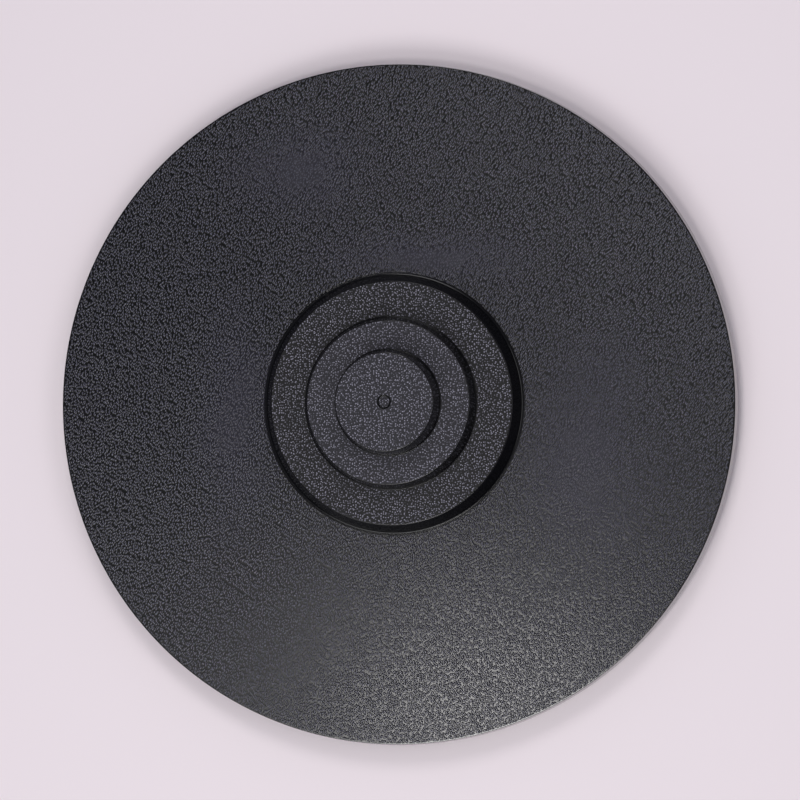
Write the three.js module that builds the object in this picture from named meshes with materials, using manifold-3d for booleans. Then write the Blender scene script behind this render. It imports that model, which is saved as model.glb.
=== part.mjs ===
// Low sculpting turntable. A grained round disc and a three-step hub turn together, on two ball
// bearings inside the hub, about a spindle that stands on a flat steel base with rubber feet.
//
// Millimetres, +Z up. The origin is on the spin axis, on the surface that the feet stand on.

import * as THREE from 'three';
import { mergeVertices } from 'three/addons/utils/BufferGeometryUtils.js';
import Module from 'manifold-3d';

const wasm = await Module();
wasm.setup();

// ---------------------------------------------------------------- driving dimensions

const DISC_RADIUS = 152.4; // a 12 inch disc, measured at the foot of its sloping edge
const DISC_TOP_RADIUS = 151.2;
const DISC_THICKNESS = 6.35; // quarter-inch sheet
const DISC_EDGE_BREAK = 0.3;
const DISC_HOLE_RADIUS = 14.8;
const HUB_SEAT_DEPTH = 0.3; // shallow seat that centres the hub on the disc
const HUB_SEAT_CLEARANCE = 0.3;

const FOOT_HEIGHT = 2;
const FOOT_RADIUS = 10;
const FOOT_FLAT_RADIUS = 8.8; // the flat that touches the table
const FOOT_EDGE_RADIUS = 9.6; // the top of the foot's rounded lower edge
const FOOT_EDGE_HEIGHT = 0.6;
const FOOT_COUNT = 6;
const FOOT_CIRCLE = 92;

const PLATE_RADIUS = 105;
const PLATE_THICKNESS = 2;
const PLATE_EDGE_BREAK = 0.6;
const BEAD_CIRCLE = 58; // pressed stiffening bead
const BEAD_HEIGHT = 1.2;
const BEAD_CREST = 3.5;
const BEAD_FOOT = 6;

const UNDER_DISC_GAP = 3.5; // from the base plate's top to the disc

const HUB_FOOT_RADIUS = 57.9;
const HUB_LIP_HEIGHT = 0.5; // thin lip round the hub's foot
const STEPS = [
  { footRadius: 56.6, topRadius: 54.2, top: 7.5 },
  { footRadius: 38.2, topRadius: 36.4, top: 16.3 },
  { footRadius: 23.3, topRadius: 21.9, top: 27.3 },
]; // heights above the disc's top
const HUB_WALL = 2.2;
const STEP_EDGE_BREAK = 0.35;
const GATE_RADIUS = 2.7; // moulding gate's dimple, with its pip
const GATE_DEPTH = 0.6;
const GATE_PIP_RADIUS = 1.4;
const GATE_PIP_HEIGHT = 0.35;

const COVER_SCREWS = { count: 4, circle: 46, phase: Math.PI / 4, shank: 1.75, head: 3.4, headDepth: 1.9 };
const COVER_SCREW_LENGTH = 9.9;
const COVER_BOSS_RADIUS = 4;

const HOUSING_SCREWS = { count: 6, circle: 30, phase: Math.PI / 6, shank: 2, head: 4, headDepth: 2.2 };
const HOUSING_SCREW_LENGTH = 8.5;
const HOUSING_FLANGE_RADIUS = 38;
const HOUSING_FLANGE_THICKNESS = 3;
const HOUSING_TUBE_RADIUS = 17.6;
const HOUSING_FILLET = 3; // between the flange and the tube
const HOUSING_EDGE_BREAK = 0.6;
const HOUSING_RIB_DEPTH = 1.6; // the rib that keeps the two outer races apart

const SPINDLE_SCREWS = { count: 3, circle: 15, phase: Math.PI / 2, shank: 1.5, head: 3, headDepth: 1.5 };
const SPINDLE_SCREW_LENGTH = 4.2;
const SPINDLE_FLANGE_RADIUS = 22;
const SPINDLE_FLANGE_THICKNESS = 2.5;
const SPINDLE_EDGE_BREAK = 0.5;
const SPINDLE_COLLAR_RADIUS = 8.2;
const THREAD_RADIUS = 4;
const THREAD_LENGTH = 4.2; // above the washer
const WASHER_THICKNESS = 1;
const WASHER_RADIUS = 8;
const NUT_ACROSS_FLATS = 13;
const NUT_HEIGHT = 4;

const SCREW_HEAD_RIM = 0.25; // the straight rim of a countersunk head
const SCREW_TIP_SHARE = 0.3; // the tip's chamfer, as a share of the shank's radius
const SOCKET_WIDTH_SHARE = 0.68; // a hexagon socket's width, as a share of the shank's
const SOCKET_DEPTH_SHARE = 0.6; // and its depth, as a share of the head's

// a 12 x 28 x 8 mm deep-groove ball bearing
const BEARING = {
  bore: 6,
  outside: 14,
  width: 8,
  ballCircle: 10,
  ballRadius: 2.2,
  ballCount: 8,
  grooveRadius: 2.42,
  innerShoulder: 8.4,
  outerShoulder: 11.6,
};
const BEARING_LIFT = 0.5; // lowest bearing above the disc's top
const BEARING_RIB = 1.5; // rib and spacer between the two bearings
const CAGE_INNER_RADIUS = 9.1;
const CAGE_OUTER_RADIUS = 10.9;
const CAGE_HEIGHT = 5.9;
const POCKET_CLEARANCE = 0.3;

const PRESS_GAP = 0.05; // radial gap of a fit inside one body
const SCREW_GAP = 0.15; // radial gap round a shank
const HEAD_GAP = 0.3; // radial gap round a countersunk head
const STACK_GAP = 0.2; // how far the shaft and the housing stop short of, and pass, the bearings
const CUT_REACH = 1; // how far a cutting tool runs past a face

const ROUND_LARGE = 80; // sides of the disc
const ROUND_MEDIUM = 48; // sides of the hub and the plate
const ROUND_SMALL = 28; // sides of the spindle, the bearings and their housing
const ROUND_NUT = 24; // sides of the nut's bore and of its turned corners
const ROUND_FOOT = 20; // sides of the feet
const ROUND_TINY = 10; // sides of the screws and of their holes
const ARC_STEPS = 3; // chords in a fillet or a groove
const BALL_SIDES = 8;
const BALL_RINGS = 6;

// ---------------------------------------------------------------- heights worked out from them

const PLATE_BOTTOM = FOOT_HEIGHT;
const PLATE_TOP = PLATE_BOTTOM + PLATE_THICKNESS;
const DISC_BOTTOM = PLATE_TOP + UNDER_DISC_GAP;
const DISC_TOP = DISC_BOTTOM + DISC_THICKNESS;
const SEAT = DISC_TOP - HUB_SEAT_DEPTH;
const LOWER_BEARING = DISC_TOP + BEARING_LIFT;
const RIB_BOTTOM = LOWER_BEARING + BEARING.width;
const UPPER_BEARING = RIB_BOTTOM + BEARING_RIB;
const STACK_TOP = UPPER_BEARING + BEARING.width;
const NUT_BOTTOM = STACK_TOP + WASHER_THICKNESS;

// ---------------------------------------------------------------- finishes

const FINISHES = {
  grainedPlastic: { color: 0x34343b, roughness: 0.5, metalness: 0 },
  mouldedPlastic: { color: 0x2c2c32, roughness: 0.4, metalness: 0 },
  rubber: { color: 0x1c1c1e, roughness: 0.85, metalness: 0 },
  coatedSteel: { color: 0x3a3b3e, roughness: 0.6, metalness: 0.3 },
  castAluminium: { color: 0xb9bbbe, roughness: 0.5, metalness: 0.9 },
  bearingSteel: { color: 0xc9ccd0, roughness: 0.2, metalness: 1 },
  cageSteel: { color: 0x9d8a5e, roughness: 0.35, metalness: 1 },
  platedSteel: { color: 0xa9adb3, roughness: 0.35, metalness: 1 },
};

// ---------------------------------------------------------------- shape helpers

// Turns a closed profile of [radius, height] pairs about Z. It runs outwards along the bottom, up
// the outside, inwards along the top and down the inside. One that leaves the axis ends on it.
function turned(profile, sides) {
  const points = profile.map(([radius, height]) => new THREE.Vector2(radius, height));
  const onAxis = profile[0][0] === 0;
  if (!onAxis) {
    points.push(points[0].clone());
  }
  const geometry = new THREE.LatheGeometry(points, sides);
  geometry.rotateX(Math.PI / 2);
  return geometry;
}

function solidOf(geometry) {
  const bare = geometry.clone();
  bare.deleteAttribute('normal');
  bare.deleteAttribute('uv');
  const merged = mergeVertices(bare);
  const vertProperties = new Float32Array(merged.attributes.position.array);
  const triVerts = new Uint32Array(merged.index.array);
  return new wasm.Manifold(new wasm.Mesh({ numProp: 3, vertProperties, triVerts }));
}

function geometryOf(solid) {
  const { vertProperties, triVerts } = solid.getMesh();
  const geometry = new THREE.BufferGeometry();
  geometry.setAttribute('position', new THREE.BufferAttribute(vertProperties, 3));
  geometry.setIndex(new THREE.BufferAttribute(triVerts, 1));
  geometry.computeVertexNormals();
  return geometry;
}

// Joins the additions to a geometry and then cuts the cutters out of it.
function shaped(geometry, { additions = [], cutters = [] }) {
  let solid = solidOf(geometry);
  for (const addition of additions) {
    solid = solid.add(solidOf(addition));
  }
  for (const cutter of cutters) {
    solid = solid.subtract(solidOf(cutter));
  }
  return geometryOf(solid);
}

function angles(count, phase = 0) {
  return Array.from({ length: count }, (_, i) => phase + (i * 2 * Math.PI) / count);
}

function pointsOnCircle(count, radius, phase = 0) {
  return angles(count, phase).map((angle) => new THREE.Vector2(
    radius * Math.cos(angle),
    radius * Math.sin(angle),
  ));
}

// Points of an arc in the profile plane, from one angle to the other, both ends included.
function arc(centreRadius, centreHeight, radius, from, to, steps) {
  return Array.from({ length: steps + 1 }, (_, i) => {
    const angle = from + ((to - from) * i) / steps;
    return [centreRadius + radius * Math.cos(angle), centreHeight + radius * Math.sin(angle)];
  });
}

// A countersunk screw that stands head down with its head's face at height 0.
function screwProfile({ shank, head, headDepth }, length) {
  const tip = shank * SCREW_TIP_SHARE;
  return [
    [0, 0],
    [head, 0],
    [head, SCREW_HEAD_RIM],
    [shank, headDepth],
    [shank, length - tip],
    [shank - tip, length],
    [0, length],
  ];
}

function screwGeometry(screw, length) {
  const socketWidth = screw.shank * SOCKET_WIDTH_SHARE;
  const socketDepth = screw.headDepth * SOCKET_DEPTH_SHARE;
  const socket = new THREE.CylinderGeometry(socketWidth, socketWidth, 2 * socketDepth, 6);
  socket.rotateX(Math.PI / 2);
  return shaped(turned(screwProfile(screw, length), ROUND_TINY), { cutters: [socket] });
}

// The tools that cut a ring of countersunk holes, open below at the height bottom.
function screwHoles(screw, bottom, top) {
  const profile = [
    [0, bottom - CUT_REACH],
    [screw.head + HEAD_GAP, bottom - CUT_REACH],
    [screw.head + HEAD_GAP, bottom + SCREW_HEAD_RIM],
    [screw.shank + SCREW_GAP, bottom + screw.headDepth + HEAD_GAP],
    [screw.shank + SCREW_GAP, top],
    [0, top],
  ];
  return pointsOnCircle(screw.count, screw.circle, screw.phase).map(({ x, y }) => (
    turned(profile, ROUND_TINY).translate(x, y, 0)
  ));
}

// The tools that cut a ring of plain holes for the same screws.
function shankHoles(screw, bottom, top) {
  const radius = screw.shank + SCREW_GAP;
  return pointsOnCircle(screw.count, screw.circle, screw.phase).map(({ x, y }) => (
    turned([[0, bottom], [radius, bottom], [radius, top], [0, top]], ROUND_TINY).translate(x, y, 0)
  ));
}

// ---------------------------------------------------------------- scene helpers

const turntable = new THREE.Group();

function addPart(parent, name, geometry, finish, position = [0, 0, 0]) {
  const mesh = new THREE.Mesh(geometry, new THREE.MeshStandardMaterial(FINISHES[finish]));
  mesh.name = name;
  mesh.position.set(...position);
  parent.add(mesh);
}

function addScrews(parent, name, screw, length, height) {
  const geometry = screwGeometry(screw, length);
  pointsOnCircle(screw.count, screw.circle, screw.phase).forEach(({ x, y }, i) => {
    addPart(parent, `${name}_${i + 1}`, geometry, 'platedSteel', [x, y, height]);
  });
}

// ---------------------------------------------------------------- base: plate, feet, spindle

function plateGeometry() {
  const crest = [BEAD_CIRCLE - BEAD_CREST, BEAD_CIRCLE + BEAD_CREST];
  const foot = [BEAD_CIRCLE - BEAD_FOOT, BEAD_CIRCLE + BEAD_FOOT];
  const profile = [
    [0, PLATE_BOTTOM],
    [foot[0], PLATE_BOTTOM],
    [crest[0], PLATE_BOTTOM + BEAD_HEIGHT],
    [crest[1], PLATE_BOTTOM + BEAD_HEIGHT],
    [foot[1], PLATE_BOTTOM],
    [PLATE_RADIUS - PLATE_EDGE_BREAK, PLATE_BOTTOM],
    [PLATE_RADIUS, PLATE_BOTTOM + PLATE_EDGE_BREAK],
    [PLATE_RADIUS, PLATE_TOP - PLATE_EDGE_BREAK],
    [PLATE_RADIUS - PLATE_EDGE_BREAK, PLATE_TOP],
    [foot[1], PLATE_TOP],
    [crest[1], PLATE_TOP + BEAD_HEIGHT],
    [crest[0], PLATE_TOP + BEAD_HEIGHT],
    [foot[0], PLATE_TOP],
    [0, PLATE_TOP],
  ];
  const cutters = screwHoles(SPINDLE_SCREWS, PLATE_BOTTOM, PLATE_TOP + CUT_REACH);
  return shaped(turned(profile, ROUND_MEDIUM), { cutters });
}

function footGeometry() {
  const profile = [
    [0, 0],
    [FOOT_FLAT_RADIUS, 0],
    [FOOT_EDGE_RADIUS, FOOT_EDGE_HEIGHT],
    [FOOT_RADIUS, FOOT_HEIGHT],
    [0, FOOT_HEIGHT],
  ];
  return turned(profile, ROUND_FOOT);
}

function spindleGeometry() {
  const flangeTop = PLATE_TOP + SPINDLE_FLANGE_THICKNESS;
  const shaft = BEARING.bore;
  const shoulder = STACK_TOP - STACK_GAP;
  const threadTop = NUT_BOTTOM + THREAD_LENGTH;
  const profile = [
    [0, PLATE_TOP],
    [SPINDLE_FLANGE_RADIUS, PLATE_TOP],
    [SPINDLE_FLANGE_RADIUS, flangeTop - SPINDLE_EDGE_BREAK],
    [SPINDLE_FLANGE_RADIUS - SPINDLE_EDGE_BREAK, flangeTop],
    [SPINDLE_COLLAR_RADIUS, flangeTop],
    [SPINDLE_COLLAR_RADIUS, LOWER_BEARING],
    [shaft, LOWER_BEARING],
    [shaft, shoulder],
    [THREAD_RADIUS, shoulder],
    [THREAD_RADIUS, threadTop - SPINDLE_EDGE_BREAK],
    [THREAD_RADIUS - SPINDLE_EDGE_BREAK, threadTop],
    [0, threadTop],
  ];
  const cutters = shankHoles(SPINDLE_SCREWS, PLATE_TOP - CUT_REACH, flangeTop + CUT_REACH);
  return shaped(turned(profile, ROUND_SMALL), { cutters });
}

function ringGeometry(innerRadius, outerRadius, bottom, height) {
  const profile = [
    [innerRadius, bottom],
    [outerRadius, bottom],
    [outerRadius, bottom + height],
    [innerRadius, bottom + height],
  ];
  return turned(profile, ROUND_SMALL);
}

// A hexagon with its corners turned down at both faces, bored through.
function nutGeometry() {
  const corner = NUT_ACROSS_FLATS / Math.sqrt(3);
  const flat = NUT_ACROSS_FLATS / 2;
  const slope = (corner - flat) / 2;
  const blank = [
    [0, 0],
    [flat, 0],
    [corner, slope],
    [corner, NUT_HEIGHT - slope],
    [flat, NUT_HEIGHT],
    [0, NUT_HEIGHT],
  ];
  const hexagon = new THREE.CylinderGeometry(corner, corner, NUT_HEIGHT, 6);
  hexagon.rotateX(Math.PI / 2);
  hexagon.translate(0, 0, NUT_HEIGHT / 2);
  const boreRadius = THREAD_RADIUS + SCREW_GAP;
  const bore = new THREE.CylinderGeometry(boreRadius, boreRadius, 3 * NUT_HEIGHT, ROUND_NUT);
  bore.rotateX(Math.PI / 2);
  const body = solidOf(turned(blank, ROUND_NUT)).intersect(solidOf(hexagon));
  return geometryOf(body.subtract(solidOf(bore)));
}

function addBase(parent) {
  addPart(parent, 'base_plate', plateGeometry(), 'coatedSteel');
  const foot = footGeometry();
  pointsOnCircle(FOOT_COUNT, FOOT_CIRCLE).forEach(({ x, y }, i) => {
    addPart(parent, `foot_${i + 1}`, foot, 'rubber', [x, y, 0]);
  });
  addPart(parent, 'spindle', spindleGeometry(), 'platedSteel');
  addScrews(parent, 'spindle_screw', SPINDLE_SCREWS, SPINDLE_SCREW_LENGTH, PLATE_BOTTOM);
  const spacer = ringGeometry(BEARING.bore + PRESS_GAP, BEARING.innerShoulder, RIB_BOTTOM, BEARING_RIB);
  addPart(parent, 'bearing_spacer', spacer, 'platedSteel');
  const washer = ringGeometry(THREAD_RADIUS + SCREW_GAP, WASHER_RADIUS, STACK_TOP, WASHER_THICKNESS);
  addPart(parent, 'spindle_washer', washer, 'platedSteel');
  addPart(parent, 'spindle_nut', nutGeometry(), 'platedSteel', [0, 0, NUT_BOTTOM]);
}

// ---------------------------------------------------------------- bearings

// Half the angle over which a race's groove wraps round its balls.
function grooveAngle(shoulder) {
  return Math.acos(Math.abs(BEARING.ballCircle - shoulder) / BEARING.grooveRadius);
}

function innerRaceGeometry() {
  const { width, innerShoulder, ballCircle, grooveRadius } = BEARING;
  const bore = BEARING.bore + PRESS_GAP;
  const wrap = grooveAngle(innerShoulder);
  const profile = [
    [bore, 0],
    [innerShoulder, 0],
    ...arc(ballCircle, width / 2, grooveRadius, Math.PI + wrap, Math.PI - wrap, ARC_STEPS),
    [innerShoulder, width],
    [bore, width],
  ];
  return turned(profile, ROUND_SMALL);
}

function outerRaceGeometry() {
  const { width, outerShoulder, ballCircle, grooveRadius } = BEARING;
  const outside = BEARING.outside - PRESS_GAP;
  const wrap = grooveAngle(outerShoulder);
  const profile = [
    [outerShoulder, 0],
    [outside, 0],
    [outside, width],
    [outerShoulder, width],
    ...arc(ballCircle, width / 2, grooveRadius, wrap, -wrap, ARC_STEPS),
  ];
  return turned(profile, ROUND_SMALL);
}

function cageGeometry() {
  const bottom = (BEARING.width - CAGE_HEIGHT) / 2;
  const pocketRadius = BEARING.ballRadius + POCKET_CLEARANCE;
  const pockets = angles(BEARING.ballCount).map((angle) => {
    const depth = 2 * (CAGE_OUTER_RADIUS - CAGE_INNER_RADIUS);
    const pocket = new THREE.CylinderGeometry(pocketRadius, pocketRadius, depth, ROUND_TINY);
    pocket.rotateZ(Math.PI / 2);
    pocket.translate(BEARING.ballCircle, 0, BEARING.width / 2);
    return pocket.rotateZ(angle);
  });
  const ring = ringGeometry(CAGE_INNER_RADIUS, CAGE_OUTER_RADIUS, bottom, CAGE_HEIGHT);
  return shaped(ring, { cutters: pockets });
}

function addBearing(parent, name, bottom) {
  const bearing = new THREE.Group();
  bearing.position.z = bottom;
  parent.add(bearing);
  addPart(bearing, `${name}_inner_race`, innerRaceGeometry(), 'bearingSteel');
  addPart(bearing, `${name}_outer_race`, outerRaceGeometry(), 'bearingSteel');
  addPart(bearing, `${name}_cage`, cageGeometry(), 'cageSteel');
  const ball = new THREE.SphereGeometry(BEARING.ballRadius, BALL_SIDES, BALL_RINGS);
  pointsOnCircle(BEARING.ballCount, BEARING.ballCircle).forEach(({ x, y }, i) => {
    addPart(bearing, `${name}_ball_${i + 1}`, ball, 'bearingSteel', [x, y, BEARING.width / 2]);
  });
}

// ---------------------------------------------------------------- platter: disc, housing, hub

function discGeometry() {
  const seatRadius = HUB_FOOT_RADIUS + HUB_SEAT_CLEARANCE;
  const profile = [
    [DISC_HOLE_RADIUS, DISC_BOTTOM],
    [DISC_RADIUS - DISC_EDGE_BREAK, DISC_BOTTOM],
    [DISC_RADIUS, DISC_BOTTOM + DISC_EDGE_BREAK],
    [DISC_TOP_RADIUS, DISC_TOP - DISC_EDGE_BREAK],
    [DISC_TOP_RADIUS - DISC_EDGE_BREAK, DISC_TOP],
    [seatRadius, DISC_TOP],
    [seatRadius, SEAT],
    [DISC_HOLE_RADIUS, SEAT],
  ];
  const cutters = [
    ...screwHoles(HOUSING_SCREWS, DISC_BOTTOM, DISC_TOP + CUT_REACH),
    ...screwHoles(COVER_SCREWS, DISC_BOTTOM, DISC_TOP + CUT_REACH),
  ];
  return shaped(turned(profile, ROUND_LARGE), { cutters });
}

function housingGeometry() {
  const seat = BEARING.outside;
  const rib = seat - HOUSING_RIB_DEPTH;
  const flangeTop = SEAT + HOUSING_FLANGE_THICKNESS;
  const tubeTop = STACK_TOP + STACK_GAP;
  const filletRadius = HOUSING_TUBE_RADIUS + HOUSING_FILLET;
  const filletHeight = flangeTop + HOUSING_FILLET;
  const profile = [
    [seat, SEAT],
    [HOUSING_FLANGE_RADIUS, SEAT],
    [HOUSING_FLANGE_RADIUS, flangeTop - HOUSING_EDGE_BREAK],
    [HOUSING_FLANGE_RADIUS - HOUSING_EDGE_BREAK, flangeTop],
    ...arc(filletRadius, filletHeight, HOUSING_FILLET, -Math.PI / 2, -Math.PI, ARC_STEPS),
    [HOUSING_TUBE_RADIUS, tubeTop - HOUSING_EDGE_BREAK],
    [HOUSING_TUBE_RADIUS - HOUSING_EDGE_BREAK, tubeTop],
    [seat, tubeTop],
    [seat, UPPER_BEARING],
    [rib, UPPER_BEARING],
    [rib, RIB_BOTTOM],
    [seat, RIB_BOTTOM],
  ];
  const cutters = shankHoles(HOUSING_SCREWS, SEAT - CUT_REACH, flangeTop + CUT_REACH);
  return shaped(turned(profile, ROUND_SMALL), { cutters });
}

// The outside of one step: up its drafted wall and over its broken edge.
function stepOutside({ footRadius, topRadius, top }, bottom) {
  return [
    [footRadius, bottom],
    [topRadius, DISC_TOP + top - STEP_EDGE_BREAK],
    [topRadius - STEP_EDGE_BREAK, DISC_TOP + top],
  ];
}

function coverOutside() {
  const lipTop = SEAT + HUB_LIP_HEIGHT;
  const filletRadius = HUB_FOOT_RADIUS - STEPS[0].footRadius;
  const filletTop = lipTop + filletRadius;
  const gateFloor = DISC_TOP + STEPS[2].top - GATE_DEPTH;
  return [
    [HUB_FOOT_RADIUS, SEAT],
    ...arc(HUB_FOOT_RADIUS, filletTop, filletRadius, -Math.PI / 2, -Math.PI, ARC_STEPS).slice(0, -1),
    ...stepOutside(STEPS[0], filletTop),
    ...stepOutside(STEPS[1], DISC_TOP + STEPS[0].top),
    ...stepOutside(STEPS[2], DISC_TOP + STEPS[1].top),
    [GATE_RADIUS, DISC_TOP + STEPS[2].top],
    [GATE_RADIUS, gateFloor],
    [GATE_PIP_RADIUS, gateFloor],
    [GATE_PIP_RADIUS, gateFloor + GATE_PIP_HEIGHT],
    [0, gateFloor + GATE_PIP_HEIGHT],
  ];
}

function coverInside() {
  const [low, middle, high] = STEPS;
  return [
    [0, DISC_TOP + high.top - HUB_WALL],
    [high.topRadius - HUB_WALL, DISC_TOP + high.top - HUB_WALL],
    [high.footRadius - HUB_WALL, DISC_TOP + middle.top - HUB_WALL],
    [middle.topRadius - HUB_WALL, DISC_TOP + middle.top - HUB_WALL],
    [middle.footRadius - HUB_WALL, DISC_TOP + low.top - HUB_WALL],
    [low.topRadius - HUB_WALL, DISC_TOP + low.top - HUB_WALL],
    [low.footRadius - HUB_WALL, SEAT],
  ];
}

// The shell is turned as a full outside with a full inside cut away, so that it is open below.
function coverGeometry() {
  const outside = turned([[0, SEAT], ...coverOutside()], ROUND_MEDIUM);
  const mouth = SEAT - CUT_REACH;
  const hollow = turned(
    [[0, mouth], [STEPS[0].footRadius - HUB_WALL, mouth], ...coverInside().reverse()],
    ROUND_MEDIUM,
  );
  const bossTop = DISC_TOP + STEPS[0].top - HUB_WALL / 2;
  const pilotTop = bossTop - HUB_WALL;
  const boss = [[0, SEAT], [COVER_BOSS_RADIUS, SEAT], [COVER_BOSS_RADIUS, bossTop], [0, bossTop]];
  const shell = shaped(outside, { cutters: [hollow] });
  const bosses = pointsOnCircle(COVER_SCREWS.count, COVER_SCREWS.circle, COVER_SCREWS.phase)
    .map(({ x, y }) => turned(boss, ROUND_TINY).translate(x, y, 0));
  const pilots = shankHoles(COVER_SCREWS, mouth, pilotTop);
  return shaped(shell, { additions: bosses, cutters: pilots });
}

function addPlatter(parent) {
  addPart(parent, 'platter_disc', discGeometry(), 'grainedPlastic');
  addPart(parent, 'bearing_housing', housingGeometry(), 'castAluminium');
  addScrews(parent, 'housing_screw', HOUSING_SCREWS, HOUSING_SCREW_LENGTH, DISC_BOTTOM);
  addPart(parent, 'hub_cover', coverGeometry(), 'mouldedPlastic');
  addScrews(parent, 'cover_screw', COVER_SCREWS, COVER_SCREW_LENGTH, DISC_BOTTOM);
}

addBase(turntable);
addBearing(turntable, 'lower_bearing', LOWER_BEARING);
addBearing(turntable, 'upper_bearing', UPPER_BEARING);
addPlatter(turntable);

export default turntable;
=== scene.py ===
"""Looks of a low sculpting turntable: a black leather-grained disc and a three-step hub that turn on two
ball bearings over a flat steel base with rubber feet.

Lengths in the tables are millimetres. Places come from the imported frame, which is in metres, +Z up.
"""
import math

import bmesh
import bpy
import numpy as np
from mathutils import Matrix, Vector


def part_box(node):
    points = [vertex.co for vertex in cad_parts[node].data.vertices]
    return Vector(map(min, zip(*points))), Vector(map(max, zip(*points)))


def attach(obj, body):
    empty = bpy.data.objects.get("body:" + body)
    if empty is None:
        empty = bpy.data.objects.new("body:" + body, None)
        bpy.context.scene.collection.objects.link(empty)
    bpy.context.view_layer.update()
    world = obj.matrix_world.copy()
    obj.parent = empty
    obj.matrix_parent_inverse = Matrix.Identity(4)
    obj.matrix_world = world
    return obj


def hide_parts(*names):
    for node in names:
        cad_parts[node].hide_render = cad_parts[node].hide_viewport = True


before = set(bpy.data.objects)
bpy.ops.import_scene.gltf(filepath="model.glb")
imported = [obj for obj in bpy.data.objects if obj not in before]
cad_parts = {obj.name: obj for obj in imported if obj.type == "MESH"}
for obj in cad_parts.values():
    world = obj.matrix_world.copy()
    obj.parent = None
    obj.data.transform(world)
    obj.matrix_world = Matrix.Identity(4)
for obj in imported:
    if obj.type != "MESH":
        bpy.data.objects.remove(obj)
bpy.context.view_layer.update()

MM = 0.001

# ------------------------------------------------------------------ sizes

DISC_EDGE_SLOPE = 0.95  # how far the disc's edge leans out from top to bottom
DISC_TOP_ROUND = 0.25
DISC_BOTTOM_ROUND = 0.3
DISC_HOLE = 14.8
SEAT_DEPTH = 0.3
SEAT_CLEARANCE = 0.3

HUB_LIP = 0.5
HUB_STEPS = ((56.6, 54.2, 7.5), (38.2, 36.4, 16.3), (23.3, 21.9, 27.3))  # foot, top, height over the disc
HUB_WALL = 2.2
HUB_EDGE_ROUND = 0.5
HUB_CORNER_ROUND = 0.3
GATE_RADIUS = 2.7
GATE_DEPTH = 0.6
GATE_PIP_RADIUS = 1.4
GATE_PIP_HEIGHT = 0.35

# countersunk screws: shank radius, head radius, head depth, thread pitch
COVER_SCREW = (1.75, 3.4, 1.9, 0.6)
HOUSING_SCREW = (2.0, 4.0, 2.2, 0.7)
SPINDLE_SCREW = (1.5, 3.0, 1.5, 0.5)
COVER_BOSS_RADIUS = 4.0
SHANK_GAP = 0.15  # between a screw or thread and its hole
HEAD_GAP = 0.3
HEAD_RIM = 0.25  # height of the straight edge under a countersunk head's cone
SOCKET_SHARE = 0.68  # of the shank's radius
SOCKET_DEPTH_SHARE = 0.6  # of the head's depth
THREAD_DEPTH_SHARE = 0.55  # of the pitch, as is the next
THREAD_CREST_SHARE = 0.15
OVERCUT = 1.0  # how far cutting tools reach past the faces they cut

SPINDLE_FLANGE_THICKNESS = 2.5
SPINDLE_COLLAR_RADIUS = 8.2
SPINDLE_SHAFT_RADIUS = 6.0
THREAD_RADIUS = 4.0
THREAD_PITCH = 1.25

BALL_CIRCLE = 10.0
BALL_COUNT = 8
BALL_RADIUS = 2.3
GROOVE_RADIUS = 2.42
OUTER_SHOULDER = 11.6
CAGE_INNER_RADIUS = 9.1
CAGE_OUTER_RADIUS = 10.9
POCKET_RADIUS = 2.5
POCKET_HALF_LENGTH = 2
BEARING_FIT = 0.05  # between a race and what it sits on

HOUSING_TUBE_RADIUS = 17.6
HOUSING_FLANGE_THICKNESS = 3.0
HOUSING_RIB_DEPTH = 1.6

PLATE_THICKNESS = 2.0
BEAD_CIRCLE = 58.0
BEAD_HEIGHT = 1.2
BEAD_CREST = 3.5
BEAD_FOOT = 6.0
# radius, height and fillet of the corners across a foot's underside
FOOT_UNDERSIDE = (
    (0, 0.35, 0),
    (3.6, 0.35, 0.15),
    (4.1, 0, 0.15),
    (5.6, 0, 0.15),
    (5.9, 0.3, 0.1),
    (6.3, 0.3, 0.1),
    (6.6, 0, 0.15),
)

GRAIN_SCALE = 1300  # cells in a metre
GRAIN_SCATTER = 0.85  # 0 for cells in rows, 1 for cells at random
GRAIN_RUN = 57.0  # degrees from +X of the grain's long way
GRAIN_STRETCH = 1.8  # how much longer the grain is than wide
GRAIN_SIDES = (0.6, 0.15)  # distance from a cell's middle at the grain's foot and top
GRAIN_GLINT_CRESTS = (0.37, 0.1)  # the same for its light part, a painted glint on the crests
GRAIN_DIMMEST_GLINT = 0.4  # painted glint on the darkest dashes, as a share of that on the lightest
GRAIN_DARK = (0.001, 0.001, 0.0016, 1.0)
# colour of the painted glints on the grain's crests, partly the crests' own lighter, polished tops
GRAIN_GLINT_COLOUR = (0.1, 0.0975, 0.138, 1.0)
GRAIN_DEPTH = 0.00009  # metres
GRAIN_ROUGHNESS = 0.22
# dark and glint colours within the patches of painted bluish sheen, which lift the dark
SHEEN_PATCH_DARK = (0.0145, 0.0138, 0.021, 1.0)
SHEEN_PATCH_GLINT = (0.062, 0.0595, 0.085, 1.0)
# x, y and half sizes of the patches of painted bluish sheen
SHEEN_PATCHES = ((-44, 104, 31, 19), (-72, -4, 19, 48), (88, -20, 27, 46), (16, 64, 50, 12))
# the hub's sparkle, raised specks with painted glints on them, in the same measures as the grain
SPECK_SCALE = 960
SPECK_SCATTER = 1.0
SPECK_CRESTS_AND_GLINTS = (0.36, 0.1)
SPECK_DIMMEST_GLINT = 0.1
SPECK_DARK = (0.001, 0.001, 0.0014, 1.0)
UPPER_STEPS_SHEEN_DARK = (0.014, 0.0135, 0.018, 1.0)  # painted sheen: a lighter colour in place of the dark one on the two upper steps
# colour of the painted glints on the specks
SPECK_GLINT_COLOUR = (0.33, 0.322, 0.39, 1.0)
SPECK_ROUGHNESS = 0.5
SPECK_DEPTH = 0.00007
SMOOTH_ROUGHNESS = 0.16  # of edges and walls without texture
EDGE_COAT = 0.8

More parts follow.
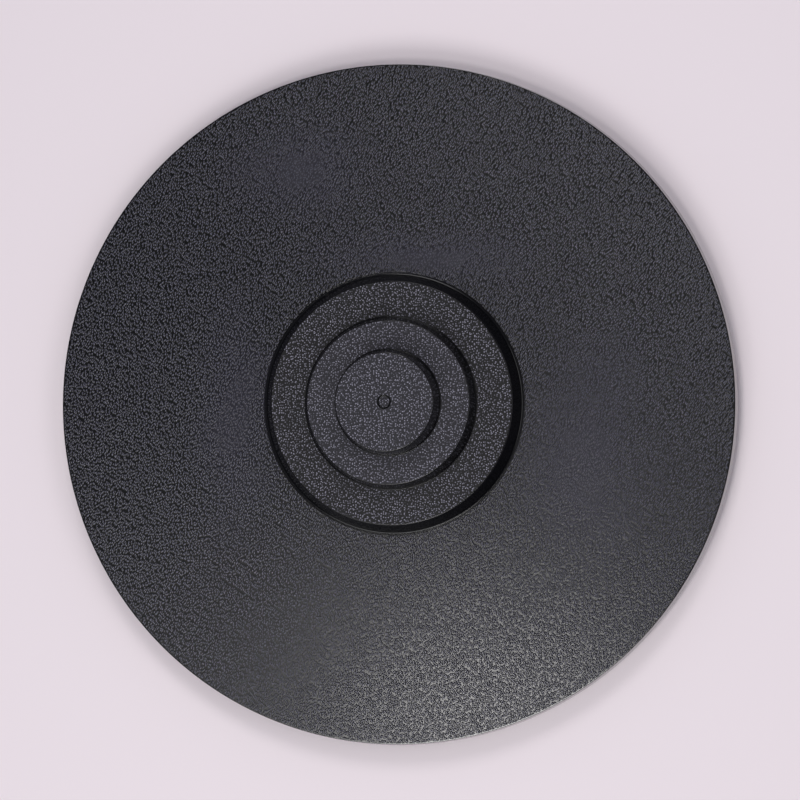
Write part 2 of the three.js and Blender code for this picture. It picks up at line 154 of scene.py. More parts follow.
FINE = 360  # sides of the largest round pieces
MEDIUM = 192
SMALL = 96
TINY = 40
SHARP = 30  # degrees; edges sharper than this are shaded sharp
CUT_TURN = 0.03  # turns cutting tools a little, so that their corners miss those of the piece

# ------------------------------------------------------------------ mesh helpers


def rounded(corners, steps=6):
    """Turns [radius, height, fillet] corners of a closed profile into points, each corner an arc."""
    points = []
    count = len(corners)
    for i, (r, z, fillet) in enumerate(corners):
        here = np.array((r, z), float)
        if fillet == 0:
            points.append(tuple(here))
            continue
        before = np.array(corners[i - 1][:2], float) - here
        after = np.array(corners[(i + 1) % count][:2], float) - here
        before /= np.linalg.norm(before)
        after /= np.linalg.norm(after)
        half = math.acos(max(-1.0, min(1.0, float(before @ after)))) / 2
        reach = fillet / math.tan(half)
        bisector = (before + after) / np.linalg.norm(before + after)
        centre = here + bisector * fillet / math.sin(half)
        start = here + before * reach - centre
        end = here + after * reach - centre
        sweep = math.pi - 2 * half
        turn = math.copysign(1.0, start[0] * end[1] - start[1] * end[0])
        for k in range(steps + 1):
            angle = turn * sweep * k / steps
            cos, sin = math.cos(angle), math.sin(angle)
            offset = (start[0] * cos - start[1] * sin, start[0] * sin + start[1] * cos)
            points.append((centre[0] + offset[0], centre[1] + offset[1]))
    return points


def lathe(profile, sides, phase=0.0):
    """A bmesh turned about Z from [radius, height] points in millimetres. It runs outwards along the
    bottom and inwards along the top, and is a closed loop or starts and ends on the axis."""
    bm = bmesh.new()
    rings = []
    for r, z in profile:
        if r < 1e-6:
            rings.append([bm.verts.new((0, 0, z * MM))])
            continue
        angles = [phase + 2 * math.pi * i / sides for i in range(sides)]
        rings.append([bm.verts.new((r * MM * math.cos(a), r * MM * math.sin(a), z * MM)) for a in angles])
    closed = len(rings[0]) > 1
    pairs = list(zip(rings, rings[1:] + rings[:1])) if closed else list(zip(rings, rings[1:]))
    for low, high in pairs:
        for i in range(sides):
            j = (i + 1) % sides
            corners = [low[i % len(low)], low[j % len(low)], high[j % len(high)], high[i % len(high)]]
            face = list(dict.fromkeys(corners))
            if len(face) > 2:
                bm.faces.new(face)
    return bm


def mesh_object(name, bm, sharp=SHARP):
    """Makes an object of a bmesh, smooth except at edges sharper than the given angle."""
    mesh = bpy.data.meshes.new(name)
    bm.to_mesh(mesh)
    bm.free()
    piece = bpy.data.objects.new(name, mesh)
    bpy.context.scene.collection.objects.link(piece)
    smooth(piece, sharp)
    return piece


def smooth(piece, sharp=SHARP):
    """Smooth shading except at sharp edges, with normals that keep large flat faces flat."""
    piece.data.polygons.foreach_set("use_smooth", [True] * len(piece.data.polygons))
    piece.data.set_sharp_from_angle(angle=math.radians(sharp))
    piece.modifiers.clear()
    piece.modifiers.new("normals", "WEIGHTED_NORMAL").keep_sharp = True


def combined(piece, tools, operation="DIFFERENCE"):
    """Cuts the tools out of a piece, or joins them to it, and deletes the tools."""
    for tool in tools:
        modifier = piece.modifiers.new("boolean", "BOOLEAN")
        modifier.object = tool
        modifier.operation = operation
        modifier.solver = "EXACT"
    bpy.context.view_layer.update()
    depsgraph = bpy.context.evaluated_depsgraph_get()
    mesh = bpy.data.meshes.new_from_object(piece.evaluated_get(depsgraph))
    piece.modifiers.clear()
    piece.data = mesh
    for tool in tools:
        bpy.data.objects.remove(tool)
    smooth(piece)


def placed(piece, x=0.0, y=0.0, z=0.0):
    """Moves a piece's mesh, so that its object stays at the origin. Places are in metres."""
    piece.data.transform(Matrix.Translation((x, y, z)))
    return piece


def centre_of(node):
    low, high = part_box(node)
    return (low + high) / 2


def height_of(node):
    low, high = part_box(node)
    return low.z / MM, high.z / MM


def finished(piece, body, material, node):
    """Gives a piece its material and its body, and hides the CAD node that it stands for."""
    piece.data.materials.clear()
    piece.data.materials.append(material)
    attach(piece, body)
    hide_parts(node)


# ------------------------------------------------------------------ material helpers


class Nodes:
    """A small builder for one material's node tree."""

    def __init__(self, name):
        self.material = bpy.data.materials.new(name)
        self.material.use_nodes = True
        self.tree = self.material.node_tree
        self.tree.nodes.clear()
        self.shader = self.add("ShaderNodeBsdfPrincipled")
        output = self.add("ShaderNodeOutputMaterial")
        self.link(self.shader.outputs["BSDF"], output.inputs["Surface"])
        self.place = self.add("ShaderNodeTexCoord").outputs["Object"]

    def add(self, kind, **settings):
        node = self.tree.nodes.new(kind)
        for key, value in settings.items():
            setattr(node, key, value)
        return node

    def link(self, source, target):
        self.tree.links.new(source, target)

    def feed(self, target, value):
        if isinstance(value, bpy.types.NodeSocket):
            self.link(value, target)
        else:
            target.default_value = value

    def set(self, **values):
        """Sets the shader's sockets, with spaces in their names written as underscores."""
        for key, value in values.items():
            self.feed(self.shader.inputs[key.replace("_", " ")], value)

    def math(self, operation, a, b=0.0):
        node = self.add("ShaderNodeMath", operation=operation)
        self.feed(node.inputs[0], a)
        self.feed(node.inputs[1], b)
        return node.outputs[0]

    def noise(self, scale, detail=2.0, roughness=0.5, distortion=0.0, shift=0.0):
        """Noise of about one feature in each 1 / scale metres. Shift moves it to other values."""
        node = self.add("ShaderNodeTexNoise")
        node.inputs["Scale"].default_value = scale
        node.inputs["Detail"].default_value = detail
        node.inputs["Roughness"].default_value = roughness
        node.inputs["Distortion"].default_value = distortion
        source = self.place
        if shift:
            moved = self.add("ShaderNodeVectorMath", operation="ADD")
            self.link(source, moved.inputs[0])
            moved.inputs[1].default_value = (shift, shift * 0.7, shift * 1.3)
            source = moved.outputs[0]
        self.link(source, node.inputs["Vector"])
        return node.outputs["Fac"]

    def remap(self, value, low, high, to_low=0.0, to_high=1.0, kind="SMOOTHSTEP"):
        node = self.add("ShaderNodeMapRange", interpolation_type=kind)
        self.feed(node.inputs["Value"], value)
        node.inputs["From Min"].default_value = low
        node.inputs["From Max"].default_value = high
        node.inputs["To Min"].default_value = to_low
        node.inputs["To Max"].default_value = to_high
        return node.outputs["Result"]

    def falling(self, value, foot, top):
        """0 where the value is over foot, rising to 1 where it is under top."""
        return self.remap(value, top, foot, 1.0, 0.0)

    def cells(self, scale, scatter, place=None):
        """Distance in plan from the middles of cells about 1 / scale metres across, in cells, and a
        number from 0 to 1 for each cell."""
        node = self.add("ShaderNodeTexVoronoi", feature="F1", voronoi_dimensions="2D")
        node.inputs["Scale"].default_value = scale
        node.inputs["Randomness"].default_value = scatter
        self.link(place or self.place, node.inputs["Vector"])
        parts = self.add("ShaderNodeSeparateColor")
        self.link(node.outputs["Color"], parts.inputs[0])
        return node.outputs["Distance"], parts.outputs[0]

    def mix(self, share, a, b):
        node = self.add("ShaderNodeMix", data_type="RGBA")
        self.feed(node.inputs["Factor"], share)
        self.feed(node.inputs["A"], a)
        self.feed(node.inputs["B"], b)
        return node.outputs["Result"]

    def parts_of_place(self):
        node = self.add("ShaderNodeSeparateXYZ")
        self.link(self.place, node.inputs[0])
        return node.outputs

    def stretched(self, angle, stretch):
        """Places for a texture that is longer, by the stretch, at the angle from +X."""
        node = self.add("ShaderNodeMapping", vector_type="TEXTURE")
        self.link(self.place, node.inputs["Vector"])
        node.inputs["Rotation"].default_value = (0.0, 0.0, math.radians(angle))
        node.inputs["Scale"].default_value = (stretch, 1.0, 1.0)
        return node.outputs["Vector"]

    def patch(self, x, y, half_width, half_depth, ragged):
        """A soft ragged patch, 1 in its middle and 0 outside. Sizes are in millimetres."""
        px, py, _ = self.parts_of_place()
        across = self.math("DIVIDE", self.math("SUBTRACT", px, x * MM), half_width * MM)
        along = self.math("DIVIDE", self.math("SUBTRACT", py, y * MM), half_depth * MM)
        squares = self.math(
            "ADD", self.math("MULTIPLY", across, across), self.math("MULTIPLY", along, along)
        )
        reach = self.math("ADD", self.math("SQRT", squares), self.math("MULTIPLY", ragged, 1.4))
        return self.remap(reach, 0.7, 2.2, 1.0, 0.0)

    def radius(self):
        x, y, _ = self.parts_of_place()
        return self.math("SQRT", self.math("ADD", self.math("MULTIPLY", x, x), self.math("MULTIPLY", y, y)))

    def emboss(self, height, distance):
        """Raises the surface by a height from 0 to 1, times a distance in metres."""
        node = self.add("ShaderNodeBump")
        self.link(height, node.inputs["Height"])
        node.inputs["Strength"].default_value = 1.0
        node.inputs["Distance"].default_value = distance
        self.link(node.outputs["Normal"], self.shader.inputs["Normal"])


def rgb(r, g, b):
    return (r, g, b, 1.0)


# ------------------------------------------------------------------ materials


def flat_mask(nodes, edges):
    """1 on the flat top between pairs of radii given in metres, 0 on walls and within a rim of each edge."""
    radius = nodes.radius()
    total = None
    for inner, outer, rim in edges:
        above = nodes.remap(radius, inner + rim * 0.5, inner + rim)
        below = nodes.remap(radius, outer - rim, outer - rim * 0.5, 1.0, 0.0)
        ring = nodes.math("MULTIPLY", above, below)
        total = ring if total is None else nodes.math("ADD", total, ring)
    return total


def grained_plastic(top, radius, seat):
    """Black sheet with a leather grain of short dashes on its top, the crests lighter with painted glints
    (partly their own polished tops), painted bluish sheen in soft patches, and a smooth cut edge and
    underside."""
    nodes = Nodes("grained_plastic")
    _, _, z = nodes.parts_of_place()
    on_top = nodes.remap(z, top - 0.0002, top - 0.00005)
    field = nodes.math("MULTIPLY", on_top, flat_mask(nodes, [(seat, radius, 0.0008)]))
    dashes, chance = nodes.cells(GRAIN_SCALE, GRAIN_SCATTER, nodes.stretched(GRAIN_RUN, GRAIN_STRETCH))
    height = nodes.falling(dashes, *GRAIN_SIDES)
    # painted glints on the crests, brighter on some dashes than on others
    lit = nodes.remap(chance, 0.0, 1.0, GRAIN_DIMMEST_GLINT, 1.0, "LINEAR")
    painted_glint = nodes.math("MULTIPLY", nodes.math("MULTIPLY", nodes.falling(dashes, *GRAIN_GLINT_CRESTS), lit), field)
    # soft patches of painted bluish sheen, where the dark is lifted and the painted glints are dimmer
    ragged = nodes.noise(22.0, 2.0, 0.5, 0.3, shift=2.0)
    sheen_patch_share = None
    for x, y, half_width, half_depth in SHEEN_PATCHES:
        patch = nodes.patch(x, y, half_width, half_depth, ragged)
        sheen_patch_share = patch if sheen_patch_share is None else nodes.math("MAXIMUM", sheen_patch_share, patch)
    sheen_patch_share = nodes.math("MULTIPLY", sheen_patch_share, on_top)
    # dark colour and painted glint colour, both lighter and bluer in the painted sheen patches
    dark = nodes.mix(sheen_patch_share, GRAIN_DARK, SHEEN_PATCH_DARK)
    light = nodes.mix(sheen_patch_share, GRAIN_GLINT_COLOUR, SHEEN_PATCH_GLINT)
    nodes.set(
        Base_Color=nodes.mix(painted_glint, dark, light),
        Roughness=nodes.remap(field, 0.0, 1.0, SMOOTH_ROUGHNESS, GRAIN_ROUGHNESS, "LINEAR"),
        IOR=1.5,
        Coat_Weight=nodes.remap(on_top, 0.0, 1.0, EDGE_COAT, 0.0, "LINEAR"),
        Coat_Roughness=0.1,
    )
    nodes.emboss(nodes.math("MULTIPLY", height, field), GRAIN_DEPTH)
    return nodes.material


def moulded_plastic(steps):
    """Black moulding: a sparkle texture on the step tops, with painted glints on its specks and painted sheen
    on the two upper steps, and smooth glossy walls.
    """
    nodes = Nodes("moulded_plastic")
    rings = []
    outer = [top for _, top, _ in steps]
    inner = [foot for foot, _, _ in steps[1:]] + [GATE_RADIUS]
    for low, high in zip(inner, outer):
        rings.append((low * MM, high * MM, 0.0007))
    rings.append((-MM, (GATE_RADIUS - 0.2) * MM, 0.0003))
    field = flat_mask(nodes, rings)
    specks, chance = nodes.cells(SPECK_SCALE, SPECK_SCATTER)
    height = nodes.falling(specks, *SPECK_CRESTS_AND_GLINTS)
    # painted sheen on the two upper steps lifts their dark colour
    second_foot = steps[1][0] * MM
    within = nodes.remap(nodes.radius(), second_foot - MM, second_foot, 1.0, 0.0)
    upper = nodes.math("MULTIPLY", within, field)
    # painted glints on the specks, brighter on some than on others
    lit = nodes.remap(chance, 0.0, 1.0, SPECK_DIMMEST_GLINT, 1.0, "LINEAR")
    painted_glint = nodes.math("MULTIPLY", nodes.math("MULTIPLY", height, lit), field)
    nodes.set(
        Base_Color=nodes.mix(painted_glint, nodes.mix(upper, SPECK_DARK, UPPER_STEPS_SHEEN_DARK), SPECK_GLINT_COLOUR),
        Roughness=nodes.remap(field, 0.0, 1.0, SMOOTH_ROUGHNESS, SPECK_ROUGHNESS, "LINEAR"),
        IOR=1.5,
        Specular_IOR_Level=0.3,
    )
    nodes.emboss(nodes.math("MULTIPLY", height, field), SPECK_DEPTH)
    return nodes.material


def rubber():
    nodes = Nodes("rubber")
    speck = nodes.noise(900, 4.0)
    nodes.set(
        Base_Color=nodes.mix(speck, rgb(0.014, 0.014, 0.015), rgb(0.03, 0.03, 0.031)),
        Roughness=nodes.remap(speck, 0.3, 0.7, 0.65, 0.9),
    )
    nodes.emboss(speck, 0.00008)
    return nodes.material


def coated_steel():
    """Fine-textured black powder coat."""
    nodes = Nodes("coated_steel")
    pebbles = nodes.noise(1500, 2.0)
    nodes.set(
        Base_Color=nodes.mix(nodes.noise(35, 3.0), rgb(0.03, 0.031, 0.033), rgb(0.048, 0.049, 0.052)),
        Roughness=nodes.remap(pebbles, 0.3, 0.7, 0.38, 0.58),
    )
    nodes.emboss(pebbles, 0.0001)
    return nodes.material


def plated_steel():
    nodes = Nodes("plated_steel")
    cloud = nodes.noise(220, 3.0)
    nodes.set(
        Base_Color=nodes.mix(cloud, rgb(0.5, 0.52, 0.55), rgb(0.66, 0.67, 0.69)),
        Metallic=1.0,
        Roughness=nodes.remap(cloud, 0.3, 0.7, 0.24, 0.4),
    )
    nodes.emboss(nodes.noise(3000, 2.0), 0.00002)
    return nodes.material


def turned_metal(name, dark, light, rough, pitch):
    """Metal turned on a lathe: fine rings about the axis, with a slight cloud of colour."""
    nodes = Nodes(name)
    rings = nodes.math("SINE", nodes.math("MULTIPLY", nodes.radius(), 2 * math.pi / pitch))
    cloud = nodes.noise(120, 3.0)
    nodes.set(
        Base_Color=nodes.mix(cloud, dark, light),
        Metallic=1.0,
        Roughness=nodes.remap(cloud, 0.3, 0.7, rough, rough + 0.12),
    )
    nodes.emboss(rings, 0.000006)
    return nodes.material


def polished_steel():
    """Ground and lapped steel with faint fine scratches."""
    nodes = Nodes("ball_steel")
    scratch = nodes.noise(2500, 2.0, 0.5, 1.5)
    nodes.set(
        Base_Color=nodes.mix(scratch, rgb(0.68, 0.7, 0.72), rgb(0.78, 0.8, 0.82)),
        Metallic=1.0,
        Roughness=nodes.remap(scratch, 0.35, 0.65, 0.07, 0.14),
    )
    nodes.emboss(scratch, 0.000002)
    return nodes.material


# ------------------------------------------------------------------ platter


def make_disc():
    bottom, top = height_of("platter_disc")
    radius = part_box("platter_disc")[1].x / MM
    seat_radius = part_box("hub_cover")[1].x / MM + SEAT_CLEARANCE
    top_radius = radius - DISC_EDGE_SLOPE
    corners = [
        (DISC_HOLE, bottom, 0.2),
        (radius, bottom, DISC_BOTTOM_ROUND),
        (top_radius, top, DISC_TOP_ROUND),
        (seat_radius, top, 0.08),
        (seat_radius, top - SEAT_DEPTH, 0.05),
        (DISC_HOLE, top - SEAT_DEPTH, 0.2),
    ]
    disc = mesh_object("disc", lathe(rounded(corners, 5), FINE))
    holes = screw_holes("housing_screw", HOUSING_SCREW, bottom, top)
    holes += screw_holes("cover_screw", COVER_SCREW, bottom, top)
    combined(disc, holes)
    material = grained_plastic(top * MM, top_radius * MM, seat_radius * MM)
    finished(disc, "platter", material, "platter_disc")


def make_hub():
    bottom, _ = height_of("hub_cover")
    foot_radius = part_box("hub_cover")[1].x / MM
    disc_top = height_of("platter_disc")[1]
    outside = [(foot_radius, bottom, 0), (foot_radius, bottom + HUB_LIP, 0.15)]
    base = None
    for foot, step_top, height in HUB_STEPS:
        if base is None:
            outside.append((foot_radius - 0.35, bottom + HUB_LIP + 0.1, 0.05))
        else:
            outside.append((foot, base, HUB_CORNER_ROUND))
        outside.append((step_top, disc_top + height, HUB_EDGE_ROUND))
        base = disc_top + height
    gate_floor = base - GATE_DEPTH
    outside += [
        (GATE_RADIUS, base, 0.15),
        (GATE_RADIUS, gate_floor, 0.15),
        (GATE_PIP_RADIUS, gate_floor, 0.1),
        (GATE_PIP_RADIUS, gate_floor + GATE_PIP_HEIGHT, 0.12),
        (0, gate_floor + GATE_PIP_HEIGHT, 0),
    ]
    heights = [disc_top + height - HUB_WALL for _, _, height in HUB_STEPS]
    inside = [(0, heights[2], 0)]
    for (foot, step_top, _), ceiling, floor in zip(HUB_STEPS[::-1], heights[::-1], [*heights[1::-1], bottom]):
        inside.append((step_top - HUB_WALL, ceiling, 0.4))
        inside.append((foot - HUB_WALL, floor, 0.4 if floor != bottom else 0))
    # the loop runs up the outside, down the axis through the wall and down the inside
    hub = mesh_object("hub", lathe(rounded(outside + inside, 5), MEDIUM))
    boss_top = disc_top + HUB_STEPS[0][2] - HUB_WALL / 2
    bosses = bores("cover_screw", COVER_BOSS_RADIUS, bottom, boss_top)
    combined(hub, bosses, "UNION")
    pilots = bores("cover_screw", COVER_SCREW[0] + SHANK_GAP, bottom - OVERCUT, boss_top - HUB_WALL)
    combined(hub, pilots)
    finished(hub, "platter", moulded_plastic(HUB_STEPS), "hub_cover")


# ------------------------------------------------------------------ fasteners


def middles(stem):
    """The centres of every node whose name starts with the stem."""
    return [centre_of(n) for n in sorted(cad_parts) if n.startswith(stem)]


def drills(name, stem, profile):
    """Cutting tools of a profile, one at the middle of each node of that name."""
    return [placed(mesh_object(name, lathe(profile, TINY, CUT_TURN)), c.x, c.y) for c in middles(stem)]


def bores(stem, radius, bottom, top):
    """Plain round tools for the nodes of that name."""
    return drills("bore", stem, [(0, bottom), (radius, bottom), (radius, top), (0, top)])


def prism(name, corner, bottom, top, turn=0.0):
    """A hexagonal prism with the given corner radius. Sizes are in millimetres."""
    profile = [(0, bottom), (corner, bottom), (corner, top), (0, top)]
    return mesh_object(name, lathe(profile, 6, turn), 20)


def threaded(radius, bottom, top, pitch):
    """Points up a threaded shank, from its foot to its broken tip."""
    depth = THREAD_DEPTH_SHARE * pitch
    points = []
    z = bottom
    while z + pitch < top - depth:
        points += [(radius, z), (radius, z + THREAD_CREST_SHARE * pitch), (radius - depth, z + depth)]
        z += pitch
    return points + [(radius, z), (radius, top - depth), (radius - depth, top), (0, top)]


def make_screw(node, screw, body, material):
    """A countersunk hexagon-socket screw that stands on its head."""
    shank, head, head_depth, pitch = screw
    centre = centre_of(node)
    bottom, top = height_of(node)
    length = top - bottom
    head_corners = [(0, 0, 0), (head, 0, 0.12), (head, HEAD_RIM, 0.08), (shank, head_depth, 0.15)]
    profile = rounded(head_corners, 3) + threaded(shank, head_depth + 0.4, length, pitch)
    piece = mesh_object(f"{node}_fine", lathe(profile, TINY))
    combined(piece, [prism("socket", SOCKET_SHARE * shank, -OVERCUT, SOCKET_DEPTH_SHARE * head_depth)])
    placed(piece, centre.x, centre.y, bottom * MM)
    finished(piece, body, material, node)


def screw_holes(stem, screw, bottom, top):
    """Tools that cut the countersunk holes of every screw of that name, open below at the bottom."""
    shank, head, head_depth, _ = screw
    profile = [
        (0, bottom - OVERCUT),
        (head + HEAD_GAP, bottom - OVERCUT),
        (head + HEAD_GAP, bottom + HEAD_RIM),
        (shank + SHANK_GAP, bottom + head_depth + HEAD_GAP),
        (shank + SHANK_GAP, top + OVERCUT),
        (0, top + OVERCUT),
    ]
    return drills("hole", stem, profile)


def make_nut(material):
    bottom, top = height_of("spindle_nut")
    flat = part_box("spindle_nut")[1].x / MM
    corner = flat * 2 / math.sqrt(3)
    slope = (corner - flat) / 2
    blank = [
        (0, bottom, 0),
        (flat, bottom, 0.05),
        (corner + 0.02, bottom + slope, 0),
        (corner + 0.02, top - slope, 0),
        (flat, top, 0.05),
        (0, top, 0),
    ]
    nut = mesh_object("spindle_nut_fine", lathe(rounded(blank, 3), SMALL))
    hexagon = prism("hexagon", corner, bottom - OVERCUT, top + OVERCUT, math.pi / 6)
    combined(nut, [hexagon], "INTERSECT")
    bore_radius = THREAD_RADIUS + SHANK_GAP
    bore = [
        (0, bottom - OVERCUT),
        (bore_radius + 0.5 + OVERCUT, bottom - OVERCUT),
        (bore_radius, bottom + 0.5),
        (bore_radius, top - 0.5),
        (bore_radius + 0.5 + OVERCUT, top + OVERCUT),
        (0, top + OVERCUT),
    ]
    combined(nut, [mesh_object("bore", lathe(bore, SMALL))])
    finished(nut, "base", material, "spindle_nut")


# ------------------------------------------------------------------ base


def make_base_plate(material):
    bottom, _ = height_of("base_plate")
    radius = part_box("base_plate")[1].x / MM
    bead = [
        (BEAD_CIRCLE - BEAD_FOOT, 0, 3.0),
        (BEAD_CIRCLE - BEAD_CREST, BEAD_HEIGHT, 3.0),
        (BEAD_CIRCLE + BEAD_CREST, BEAD_HEIGHT, 3.0),
        (BEAD_CIRCLE + BEAD_FOOT, 0, 3.0),
    ]
    under = [(0, bottom, 0)] + [(r, bottom + h, f) for r, h, f in bead] + [(radius, bottom, 0.6)]
    over_bottom = bottom + PLATE_THICKNESS
    over = [(radius, over_bottom, 0.6)] + [(r, over_bottom + h, f) for r, h, f in reversed(bead)]
    over += [(0, over_bottom, 0)]
    plate = mesh_object("base_plate_fine", lathe(rounded(under + over, 5), MEDIUM))
    combined(plate, screw_holes("spindle_screw", SPINDLE_SCREW, bottom, over_bottom))
    finished(plate, "base", material, "base_plate")


def make_feet(material):
    feet = [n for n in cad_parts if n.startswith("foot_")]
    for node in sorted(feet):
        low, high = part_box(node)
        centre = centre_of(node)
        radius = (high.x - low.x) / 2 / MM
        height = (high.z - low.z) / MM
        corners = [*FOOT_UNDERSIDE, (radius - 0.7, 0, 0.6), (radius, height, 0.15), (0, height, 0)]
        foot = mesh_object(f"rubber_{node}", lathe(rounded(corners, 4), SMALL))
        placed(foot, centre.x, centre.y, low.z)
        finished(foot, "base", material, node)


def make_spindle(material):
    bottom, top = height_of("spindle")
    seat, _ = height_of("lower_bearing_inner_race")
    shoulder = height_of("spindle_washer")[0] - 0.2
    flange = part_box("spindle")[1].x / MM
    flange_top = bottom + SPINDLE_FLANGE_THICKNESS
    profile = rounded([
        (0, bottom, 0),
        (flange, bottom, 0.2),
        (flange, flange_top, 0.5),
        (SPINDLE_COLLAR_RADIUS, flange_top, 0.6),
        (SPINDLE_COLLAR_RADIUS, seat, 0.25),
        (SPINDLE_SHAFT_RADIUS, seat, 0.1),
        (SPINDLE_SHAFT_RADIUS, shoulder, 0.3),
    ], 4)
    profile += threaded(THREAD_RADIUS, shoulder + 0.2, top, THREAD_PITCH)
    spindle = mesh_object("spindle_fine", lathe(profile, SMALL))
    bore_radius = SPINDLE_SCREW[0] + SHANK_GAP
    combined(spindle, bores("spindle_screw", bore_radius, bottom - OVERCUT, flange_top + OVERCUT))
    finished(spindle, "base", material, "spindle")


def make_ring(node, inner, material):
    """A plain ring on the base, with its edges broken."""
    bottom, top = height_of(node)
    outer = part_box(node)[1].x / MM
    corners = [(r, z, 0.15) for r, z in ((inner, bottom), (outer, bottom), (outer, top), (inner, top))]
    ring = mesh_object(f"{node}_fine", lathe(rounded(corners, 4), SMALL))
    finished(ring, "base", material, node)


# ------------------------------------------------------------------ bearings


def groove(shoulder, middle, sign):
    """Points of a race's ball groove, upwards on an inner race and downwards on an outer one."""
    wrap = math.acos(abs(BALL_CIRCLE - shoulder) / GROOVE_RADIUS)
    steps = 12
    points = []
    for k in range(steps + 1):
        angle = -wrap + 2 * wrap * k / steps
        r = BALL_CIRCLE + sign * GROOVE_RADIUS * math.cos(angle)
        z = middle - sign * GROOVE_RADIUS * math.sin(angle)
        points.append((r, z, 0))
    return points


def make_bearing(name, balls_body, steel, ball_steel, cage_metal):
    inner, outer = f"{name}_inner_race", f"{name}_outer_race"
    bottom, top = height_of(inner)
    middle = (bottom + top) / 2
    bore = SPINDLE_SHAFT_RADIUS + BEARING_FIT
    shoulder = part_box(inner)[1].x / MM
    corners = [(bore, bottom, 0.4), (shoulder, bottom, 0.2)]
    corners += groove(shoulder, middle, -1)
    corners += [(shoulder, top, 0.2), (bore, top, 0.4)]
    race = mesh_object(f"{inner}_fine", lathe(rounded(corners, 4), SMALL))
    finished(race, "base", steel, inner)

    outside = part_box(outer)[1].x / MM
    corners = [(OUTER_SHOULDER, bottom, 0.2), (outside, bottom, 0.4)]
    corners += [(outside, top, 0.4), (OUTER_SHOULDER, top, 0.2)]
    corners += groove(OUTER_SHOULDER, middle, 1)
    race = mesh_object(f"{outer}_fine", lathe(rounded(corners, 4), SMALL))
    finished(race, "platter", steel, outer)

    cage = f"{name}_cage"
    low, high = height_of(cage)
    corners = [(CAGE_INNER_RADIUS, low, 0.15), (CAGE_OUTER_RADIUS, low, 0.15)]
    corners += [(CAGE_OUTER_RADIUS, high, 0.15), (CAGE_INNER_RADIUS, high, 0.15)]
    ring = mesh_object(f"{cage}_fine", lathe(rounded(corners, 3), SMALL))
    half = POCKET_HALF_LENGTH
    profile = [(0, -half), (POCKET_RADIUS, -half), (POCKET_RADIUS, half), (0, half)]
    pockets = []
    for i in range(BALL_COUNT):
        pocket = mesh_object("pocket", lathe(profile, TINY))
        angle = 2 * math.pi * i / BALL_COUNT
        place = Matrix.Rotation(angle, 4, "Z") @ Matrix.Translation((BALL_CIRCLE * MM, 0, middle * MM))
        pocket.data.transform(place @ Matrix.Rotation(math.pi / 2, 4, "Y"))
        pockets.append(pocket)
    combined(ring, pockets)
    finished(ring, balls_body, cage_metal, cage)

    for node in sorted(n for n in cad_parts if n.startswith(f"{name}_ball_")):
        bm = bmesh.new()
        bmesh.ops.create_uvsphere(bm, u_segments=28, v_segments=18, radius=BALL_RADIUS * MM)
        ball = placed(mesh_object(f"{node}_fine", bm, 60), *centre_of(node))
        finished(ball, balls_body, ball_steel, node)


# ------------------------------------------------------------------ bearing housing


def make_housing(material):
    bottom, top = height_of("bearing_housing")
    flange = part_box("bearing_housing")[1].x / MM
    flange_top = bottom + HOUSING_FLANGE_THICKNESS
    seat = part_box("lower_bearing_outer_race")[1].x / MM + BEARING_FIT
    rib_bottom = height_of("lower_bearing_outer_race")[1]
    rib_top = height_of("upper_bearing_outer_race")[0]
    corners = [
        (seat, bottom, 0.3),
        (flange, bottom, 0.3),
        (flange, flange_top, 0.6),
        (HOUSING_TUBE_RADIUS, flange_top, 3.0),
        (HOUSING_TUBE_RADIUS, top, 0.6),
        (seat, top, 0.2),
        (seat, rib_top, 0.1),
        (seat - HOUSING_RIB_DEPTH, rib_top, 0.2),
        (seat - HOUSING_RIB_DEPTH, rib_bottom, 0.2),
        (seat, rib_bottom, 0.1),
    ]
    housing = mesh_object("bearing_housing_fine", lathe(rounded(corners, 5), SMALL))
    bore_radius = HOUSING_SCREW[0] + SHANK_GAP
    combined(housing, bores("housing_screw", bore_radius, bottom - OVERCUT, flange_top + OVERCUT))
    finished(housing, "platter", material, "bearing_housing")


# ------------------------------------------------------------------ stage, camera, lights

CAMERA_AZIMUTH = 80.0  # degrees round from the front
CAMERA_ELEVATION = 81.2  # degrees above the table
CAMERA_DISTANCE = 1.361  # metres, as are the places and sizes of the lights
CAMERA_LENS = 137.6
CAMERA_TARGET = (0.00295, 0.0015)

# height of a direction where the sky starts and stops changing, and its strength at the two
SKY_STRENGTH = (0.75, 0.985, 0.36, 0.05)
# place, size, power and colour of each softbox
LIGHTS = {
    "top_softbox": ((0.0, 0.7, 1.05), (0.4, 0.4), 3.2, (1.0, 0.985, 1.0)),
    "bottom_softbox": ((-0.112, -0.27, 1.3), (0.2, 0.2), 2.8, (1.0, 0.98, 0.98)),
    "side_softbox": ((-0.2, -0.85, 1.2), (1.0, 0.6), 7.4, (1.0, 1.0, 1.0)),
    "fill_softbox": ((0.8, 0.1, 1.15), (0.7, 0.5), 2.0, (1.0, 1.0, 1.0)),
}


def make_camera(target_height):
    azimuth, elevation = math.radians(CAMERA_AZIMUTH), math.radians(CAMERA_ELEVATION)
    away = Vector((
        math.sin(azimuth) * math.cos(elevation),
        -math.cos(azimuth) * math.cos(elevation),
        math.sin(elevation),
    ))
    right = (-away).cross(Vector((0, 1, 0))).normalized()
    up = away.cross(right)
    turn = Matrix((right, up, away)).transposed().to_4x4()
    place = Matrix.Translation(Vector((*CAMERA_TARGET, target_height)) + away * CAMERA_DISTANCE)
    data = bpy.data.cameras.new("camera")
    data.lens = CAMERA_LENS
    data.sensor_width = 36.0
    camera = bpy.data.objects.new("camera", data)
    bpy.context.scene.collection.objects.link(camera)
    camera.matrix_world = place @ turn
    bpy.context.scene.camera = camera


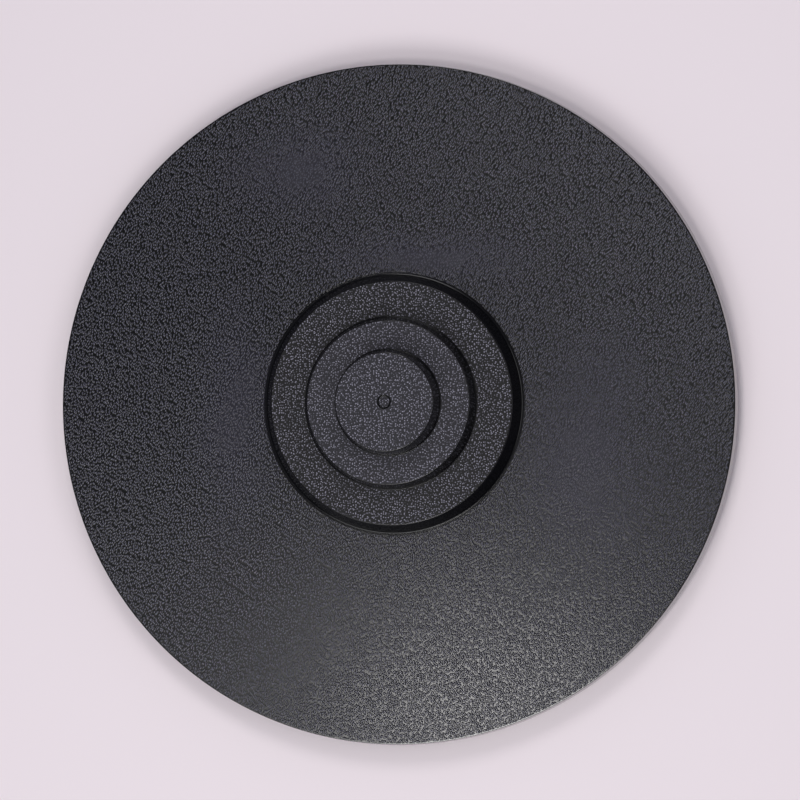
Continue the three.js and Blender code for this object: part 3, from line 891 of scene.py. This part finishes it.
def make_light(name, place, size, power, colour):
    """An area light at a place, aimed at the middle of the table."""
    data = bpy.data.lights.new(name, "AREA")
    data.shape = "RECTANGLE"
    data.size, data.size_y = size
    data.energy = power
    data.color = colour
    light = bpy.data.objects.new(name, data)
    light.location = place
    light.rotation_euler = (-Vector(place)).to_track_quat("-Z", "Y").to_euler()
    bpy.context.scene.collection.objects.link(light)


def make_stage():
    bm = bmesh.new()
    bmesh.ops.create_grid(bm, x_segments=2, y_segments=2, size=3.0)
    floor = mesh_object("floor", bm)
    nodes = Nodes("floor")
    nodes.set(Base_Color=rgb(0.865, 0.785, 0.8), Roughness=0.75, Specular_IOR_Level=0.2)
    floor.data.materials.append(nodes.material)

    world = bpy.data.worlds.new("studio")
    world.use_nodes = True
    tree = world.node_tree
    direction = tree.nodes.new("ShaderNodeTexCoord").outputs["Generated"]
    upwards = tree.nodes.new("ShaderNodeSeparateXYZ")
    strength = tree.nodes.new("ShaderNodeMapRange")
    strength.interpolation_type = "SMOOTHSTEP"
    for name, value in zip(("From Min", "From Max", "To Min", "To Max"), SKY_STRENGTH):
        strength.inputs[name].default_value = value
    background = tree.nodes["Background"]
    background.inputs["Color"].default_value = rgb(0.93, 0.93, 1.12)
    tree.links.new(direction, upwards.inputs[0])
    tree.links.new(upwards.outputs["Z"], strength.inputs["Value"])
    tree.links.new(strength.outputs["Result"], background.inputs["Strength"])
    bpy.context.scene.world = world
    bpy.context.scene.view_settings.view_transform = "Standard"

    for name, settings in LIGHTS.items():
        make_light(name, *settings)


# ------------------------------------------------------------------ everything together

STEEL = plated_steel()
RACE_STEEL = turned_metal("bearing_steel", rgb(0.62, 0.64, 0.66), rgb(0.76, 0.78, 0.8), 0.12, 0.0004)
CAGE_METAL = turned_metal("cage_steel", rgb(0.46, 0.34, 0.14), rgb(0.6, 0.46, 0.22), 0.25, 0.0003)
ALUMINIUM = turned_metal("cast_aluminium", rgb(0.5, 0.51, 0.52), rgb(0.62, 0.63, 0.64), 0.35, 0.0005)
BALL_STEEL = polished_steel()

make_camera(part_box("platter_disc")[1].z)
make_stage()
make_disc()
make_hub()
make_base_plate(coated_steel())
make_feet(rubber())
make_spindle(STEEL)
make_ring("bearing_spacer", SPINDLE_SHAFT_RADIUS + BEARING_FIT, STEEL)
make_ring("spindle_washer", THREAD_RADIUS + SHANK_GAP, STEEL)
make_nut(STEEL)
make_bearing("lower_bearing", "lower_balls", RACE_STEEL, BALL_STEEL, CAGE_METAL)
make_bearing("upper_bearing", "upper_balls", RACE_STEEL, BALL_STEEL, CAGE_METAL)
make_housing(ALUMINIUM)
for NODE in sorted(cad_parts):
    if NODE.startswith("spindle_screw"):
        make_screw(NODE, SPINDLE_SCREW, "base", STEEL)
    elif NODE.startswith("housing_screw"):
        make_screw(NODE, HOUSING_SCREW, "platter", STEEL)
    elif NODE.startswith("cover_screw"):
        make_screw(NODE, COVER_SCREW, "platter", STEEL)
